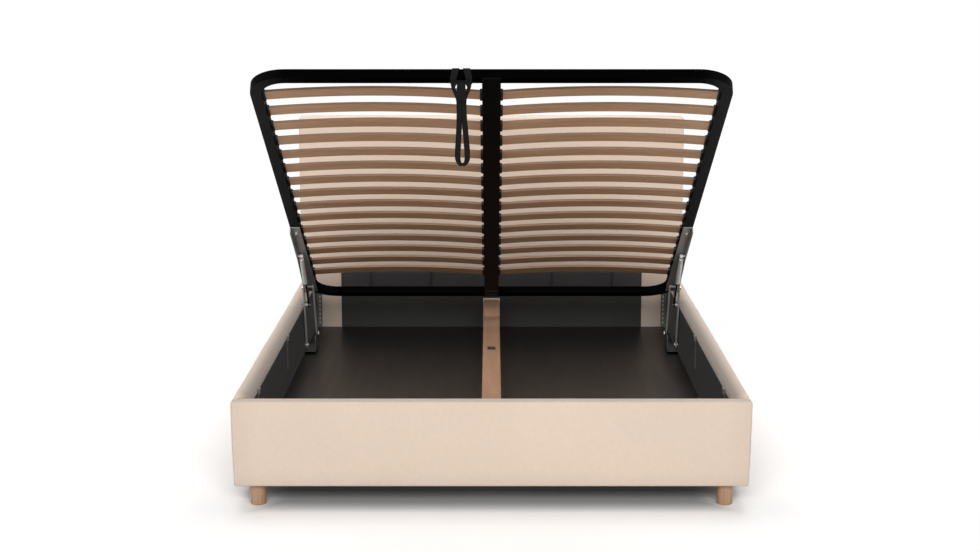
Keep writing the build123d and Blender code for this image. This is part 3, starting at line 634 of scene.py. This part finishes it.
def lining_pad(bm, left, right, low, high):
    """One pad: a grid drawn into a rounded outline and raised off the headboard, and its back."""
    half_wide, half_high = (right - left) / 2, (high.z - low.z) / 2
    centre_x, centre_z = (left + right) / 2, (low.z + high.z) / 2
    grid = []
    for column in range(PAD_COLUMNS + 1):
        strip = []
        for row in range(PAD_ROWS + 1):
            across, above = 2 * column / PAD_COLUMNS - 1, 2 * row / PAD_ROWS - 1
            x, z = across * half_wide, above * half_high
            over_x, over_z = abs(x) - half_wide + PAD_RADIUS, abs(z) - half_high + PAD_RADIUS
            if over_x > 0 and over_z > 0:
                reach = max(over_x, over_z) / math.hypot(over_x, over_z)
                x = math.copysign(half_wide - PAD_RADIUS + over_x * reach, x)
                z = math.copysign(half_high - PAD_RADIUS + over_z * reach, z)
            near = min(half_wide - abs(across) * half_wide, half_high - abs(above) * half_high)
            rise = PAD_RISE * math.sqrt(ease(near / PAD_EDGE))
            rise += UNEVEN * noise.noise(Vector((x, z, left)) * PAD_UNEVEN_SCALE)
            strip.append(bm.verts.new((centre_x + x, high.y - rise, centre_z + z)))
        grid.append(strip)
    for first, second in zip(grid, grid[1:]):
        for row in range(PAD_ROWS):
            bm.faces.new((first[row], second[row], second[row + 1], first[row + 1]))
    bottom = [strip[0] for strip in grid]
    top = [strip[-1] for strip in reversed(grid)]
    bm.faces.new(bottom + grid[-1][1:-1] + top + grid[0][-2:0:-1])


low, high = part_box("headboard_pads")
end_width = (high.x - low.x + PAD_JOINT - 4 * PAD_WIDTH) / 2
left = low.x - PAD_JOINT / 2
bm = bmesh.new()
for width in (end_width, PAD_WIDTH, PAD_WIDTH, PAD_WIDTH, PAD_WIDTH, end_width):
    right = left + width
    lining_pad(bm, left + PAD_JOINT / 2, right - PAD_JOINT / 2, low, high)
    left = right
pads = add_object("headboard_lining_pads", bm, PAD_LINING)
dress(pads, "headboard_pads")


# Pull strap

BAND_THICKNESS = 0.0018
# How far out a band is at its full thickness, as a share of half its width
RIBBON_SHOULDER = 0.9
HITCH_SHOULDER = 0.85
# The platform's slope, which the foot-end bar's section follows
TILT = math.radians(30.55)
# Upper end of the strap below the top of its own box
STRAP_MARGIN = 0.003
# The hitch and the tops of the strands lie a little to the left of the strap's middle
HITCH_SHIFT = -0.0034
STRAND_SHIFT = -0.0036
# Over this length the strands come back to the middle
SHIFT_LENGTH = 0.22
# One strand lies this far before the strap's plane and the other behind it
STRAND_PLANE = 0.0011
# The short band in front of them
CENTRE_PLANE = -0.0022
CURVE_STEPS = 8

# A strand from top to bottom: how far aside, how far back, how high over the upper end, and width
STRAND = (
    (0.0212, 0.0, 0.002, 0.0225),
    (0.0232, -0.0004, -0.006, 0.0175),
    (0.0240, -0.0006, -0.014, 0.0125),
    (0.0212, -0.0008, -0.024, 0.0110),
    (0.0145, -0.0008, -0.037, 0.0130),
    (0.0095, -0.0006, -0.049, 0.0150),
    (0.0075, -0.0006, -0.062, 0.0160),
    (0.0078, 0.0, -0.108, 0.0168),
    (0.0102, 0.0, -0.150, 0.0172),
    (0.0130, 0.0, -0.190, 0.0176),
    (0.0146, 0.0, -0.218, 0.0176),
    (0.0140, 0.0, -0.236, 0.0162),
    (0.0084, 0.0, -0.2485, 0.0125),
    (0.0, 0.0, -0.2520, 0.0095),
)
# The short band in front of the tops of both strands: height and width
CENTRE_BAND = ((0.003, 0.0265), (-0.01, 0.0268), (-0.025, 0.0268), (-0.045, 0.0265), (-0.06, 0.025))


def band_section(shoulder):
    """Six points round a flat band, in half widths and half thicknesses."""
    return ((-1, 0), (-shoulder, 1), (shoulder, 1), (1, 0), (shoulder, -1), (-shoulder, -1))


def join_rings(bm, first, second):
    """Faces between two rings of points."""
    for number in range(len(first)):
        other = (number + 1) % len(first)
        bm.faces.new((first[number], first[other], second[other], second[number]))


def tangents(path):
    """Direction of the path at each of its points."""
    out = []
    for number in range(len(path)):
        before, after = path[max(0, number - 1)], path[min(len(path) - 1, number + 1)]
        out.append((after - before).normalized())
    return out


def ribbon(bm, path, across, widths):
    """Flat band along a path. across gives its width direction at each point."""
    rings = []
    for point, tangent, rough_side, width in zip(path, tangents(path), across, widths):
        side = (rough_side - tangent * rough_side.dot(tangent)).normalized()
        out = tangent.cross(side)
        half, thin = width / 2, BAND_THICKNESS / 2
        section = band_section(RIBBON_SHOULDER)
        rings.append([bm.verts.new(point + side * half * a + out * thin * b) for a, b in section])
    for first, second in zip(rings, rings[1:]):
        join_rings(bm, first, second)
    bm.faces.new(rings[0])
    bm.faces.new(list(reversed(rings[-1])))


def between(p, q, r, s, t):
    """Catmull-Rom value between q and r."""
    linear = (r - p) * t
    square = (2 * p - 5 * q + 4 * r - s) * t * t
    cube = (3 * q - p - 3 * r + s) * t * t * t
    return 0.5 * (2 * q + linear + square + cube)


def smooth_path(points):
    """Curve through the points, each a row of numbers."""
    out = []
    padded = [points[0], *points, points[-1]]
    for rows in zip(padded, padded[1:], padded[2:], padded[3:]):
        for step in range(CURVE_STEPS):
            out.append([between(*values, step / CURVE_STEPS) for values in zip(*rows)])
    out.append(list(points[-1]))
    return out


strap_low, strap_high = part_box("pull_strap")
strap_x = (strap_low.x + strap_high.x) / 2
strap_y = (strap_low.y + strap_high.y) / 2
strap_z = strap_high.z - STRAP_MARGIN

bm = bmesh.new()
strand = smooth_path(STRAND)
for sign in (-1, 1):
    path = []
    for aside, back, height, _ in strand:
        shift = STRAND_SHIFT * (1 - ease(-height / SHIFT_LENGTH))
        x = strap_x + sign * aside + shift
        path.append(Vector((x, strap_y + back + STRAND_PLANE * sign, strap_z + height)))
    across = [tangent.cross(Vector((0, 1, 0))) for tangent in tangents(path)]
    ribbon(bm, path, across, [width for *_, width in strand])
path = []
for height, _ in CENTRE_BAND:
    path.append(Vector((strap_x + HITCH_SHIFT, strap_y + CENTRE_PLANE, strap_z + height)))
ribbon(bm, path, [Vector((1, 0, 0))] * len(path), [width for _, width in CENTRE_BAND])
strap = add_object("pull_strap_webbing", bm, WEBBING)
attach(strap, "pull_strap")
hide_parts("pull_strap")


# Hitch: two bands round the foot-end bar, in the bar's own tilted section, and a bridge under it

# Half the loop's size along the platform's slope and square to it, and the radius of its corners
HALF_ALONG = 0.0201
HALF_UP = 0.0176
LOOP_RADIUS = 0.004
LOOP_STEPS = 4
# The bands part and get narrower from the bar's top to its underside
BAND_ASIDE = 0.0165
BAND_SPREAD = 0.0072
BAND_HALF_WIDTH = 0.0113
BAND_NARROWING = 0.0012
BRIDGE_DROP = 0.0016
# The bridge from left to right: how far aside, and width
BRIDGE = ((-0.024, 0.016), (-0.012, 0.018), (0.0, 0.0185), (0.012, 0.018), (0.024, 0.016))


def loop_outline():
    """Rounded rectangle as points along the slope and square to it."""
    loop = []
    for corner, (a, b) in enumerate(((1, 1), (-1, 1), (-1, -1), (1, -1))):
        for number in range(LOOP_STEPS + 1):
            angle = math.pi / 2 * (corner + number / LOOP_STEPS)
            along = a * (HALF_ALONG - LOOP_RADIUS) + LOOP_RADIUS * math.cos(angle)
            loop.append((along, b * (HALF_UP - LOOP_RADIUS) + LOOP_RADIUS * math.sin(angle)))
    return loop


def hitch_band(bm, sign, middle, down, up):
    """One of the two bands, closed round the bar."""
    loop = loop_outline()
    rings = []
    for number, (along, above) in enumerate(loop):
        after, before = loop[(number + 1) % len(loop)], loop[number - 1]
        tangent = Vector((after[0] - before[0], after[1] - before[1])).normalized()
        normal = Vector((tangent.y, -tangent.x)) * BAND_THICKNESS / 2
        spread = ease((HALF_UP - above) / (2 * HALF_UP))
        aside = sign * (BAND_ASIDE + BAND_SPREAD * spread) + HITCH_SHIFT
        half_wide = BAND_HALF_WIDTH - BAND_NARROWING * spread
        ring = []
        for x, out in band_section(HITCH_SHOULDER):
            place = middle + down * (along + normal.x * out) + up * (above + normal.y * out)
            ring.append(bm.verts.new(place + Vector((aside + x * half_wide, 0, 0))))
        rings.append(ring)
    for first, second in zip(rings, rings[1:] + rings[:1]):
        join_rings(bm, first, second)


hitch_low, hitch_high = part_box("strap_hitch")
middle = Vector((strap_x, (hitch_low.y + hitch_high.y) / 2, (hitch_low.z + hitch_high.z) / 2))
down = Vector((0, math.cos(TILT), -math.sin(TILT)))
up = Vector((0, math.sin(TILT), math.cos(TILT)))
bm = bmesh.new()
for sign in (-1, 1):
    hitch_band(bm, sign, middle, down, up)
under = middle - up * (HALF_UP + BRIDGE_DROP)
path = [under + Vector((aside + HITCH_SHIFT, 0, 0)) for aside, _ in BRIDGE]
ribbon(bm, path, [down] * len(path), [width for _, width in BRIDGE])
hitch = add_object("strap_hitch_webbing", bm, WEBBING)
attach(hitch, "platform")
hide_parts("strap_hitch")


# Studio floor, with a painted shadow under the bed, fading into the white round it

FLOOR_SIZE = 60.0
BED_HALF_WIDTH = 0.70
BED_END_MARGIN = 0.05
# The ground's tone under the bed, darker there as a painted shadow, and in the open, the second one
# lighter where it is seen
UNDER_BED_SHADOW = 0.4
OPEN_TONE = 0.94
SEEN_EXTRA = 0.3
# From inside to outside the bed's outline, over which the painted shadow gives way to the open tone
OUTLINE_START = -0.04
OUTLINE_END = 0.12
# The oval round the middle over which the floor turns into a plain glow
OVAL = (0.9, 0.75, 1.0)
OVAL_START = 1.1
OVAL_END = 1.9
LEAST_GLOW = 0.02

foot_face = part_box("foot_panel_cover")[0].y


def floor_material():
    m = Look("studio_floor")
    bed_front = foot_face + BED_END_MARGIN
    bed_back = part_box("headboard_cover")[1].y - BED_END_MARGIN
    beside = m.math("ABSOLUTE", m.component(m.place, "X"))
    beside = m.math("SUBTRACT", beside, BED_HALF_WIDTH)
    ends = m.math("SUBTRACT", m.component(m.place, "Y"), (bed_front + bed_back) / 2)
    ends = m.math("SUBTRACT", m.math("ABSOLUTE", ends), (bed_back - bed_front) / 2)
    outside = m.math("MAXIMUM", beside, ends)
    seen = m.seen()
    open_tone = m.math("ADD", m.math("MULTIPLY", seen, SEEN_EXTRA), OPEN_TONE)
    outline = {"From_Min": OUTLINE_START, "From_Max": OUTLINE_END}
    # Painted shadow under the bed, fading to the open tone outside its outline
    floor_with_shadow = m.ranged(outside, EASED, **outline, To_Min=UNDER_BED_SHADOW, To_Max=open_tone)
    m.set(Base_Color=floor_with_shadow, Roughness=0.9, Specular_IOR_Level=0.0)
    away = m.add("ShaderNodeVectorMath", operation="LENGTH")
    m.feed(away.inputs[0], m.scaled(OVAL))
    reach = m.ranged(away.outputs["Value"], EASED, From_Min=OVAL_START, From_Max=OVAL_END)
    share = m.math("MULTIPLY", m.math("MAXIMUM", reach, LEAST_GLOW), seen)
    glow = m.add("ShaderNodeEmission").outputs["Emission"]
    surface = m.blend(share, m.shader.outputs["BSDF"], glow)
    m.fill(m.tree.nodes["Material Output"], Surface=surface)
    return m.material


bm = bmesh.new()
bmesh.ops.create_grid(bm, x_segments=8, y_segments=8, size=FLOOR_SIZE)
floor = add_object("studio_floor", bm, floor_material())


# Surroundings, lights and camera

# Strength of the surroundings as light and as what is seen
WORLD_LIGHT = 0.22
WORLD_SEEN = 1.0
# Lens and sensor in millimetres, distance from the foot panel's front, and pitch in degrees down
CAMERA_LENS = 62.41
CAMERA_SENSOR = 36.0
CAMERA_SHIFT = -0.00148
CAMERA_DISTANCE = 5.224
CAMERA_HEIGHT = 1.723
CAMERA_PITCH = 10.45

world = bpy.data.worlds.new("studio")
bpy.context.scene.world = world
world.use_nodes = True
world.node_tree.nodes.clear()
sky = Tree(world.node_tree)
backgrounds = []
for strength in (WORLD_LIGHT, WORLD_SEEN):
    background = sky.add("ShaderNodeBackground")
    sky.fill(background, Color=WHITE, Strength=strength)
    backgrounds.append(background.outputs["Background"])
sky.fill(sky.add("ShaderNodeOutputWorld"), Surface=sky.blend(sky.seen(), *backgrounds))


def area_light(name, place, target, size, power):
    data = bpy.data.lights.new(name, "AREA")
    data.shape = "RECTANGLE"
    data.size, data.size_y = size
    data.energy = power
    light = bpy.data.objects.new(name, data)
    light.location = place
    light.rotation_euler = (Vector(target) - Vector(place)).to_track_quat("-Z", "Y").to_euler()
    bpy.context.scene.collection.objects.link(light)


area_light("front_softbox", (0.0, -11.2, 5.7), (0.0, 0.0, 0.6), size=(9.0, 3.2), power=1060)
area_light("top_softbox", (0.0, 1.2, 4.8), (0.0, 0.4, 0.0), size=(5.0, 2.4), power=125)

camera_data = bpy.data.cameras.new("camera")
camera_data.lens = CAMERA_LENS
camera_data.sensor_width = CAMERA_SENSOR
camera_data.shift_x = CAMERA_SHIFT
camera = bpy.data.objects.new("camera", camera_data)
camera.location = (0.0, foot_face - CAMERA_DISTANCE, CAMERA_HEIGHT)
camera.rotation_euler = (math.radians(90 - CAMERA_PITCH), 0.0, 0.0)
bpy.context.scene.collection.objects.link(camera)
bpy.context.scene.camera = camera
bpy.context.scene.view_settings.view_transform = "Standard"
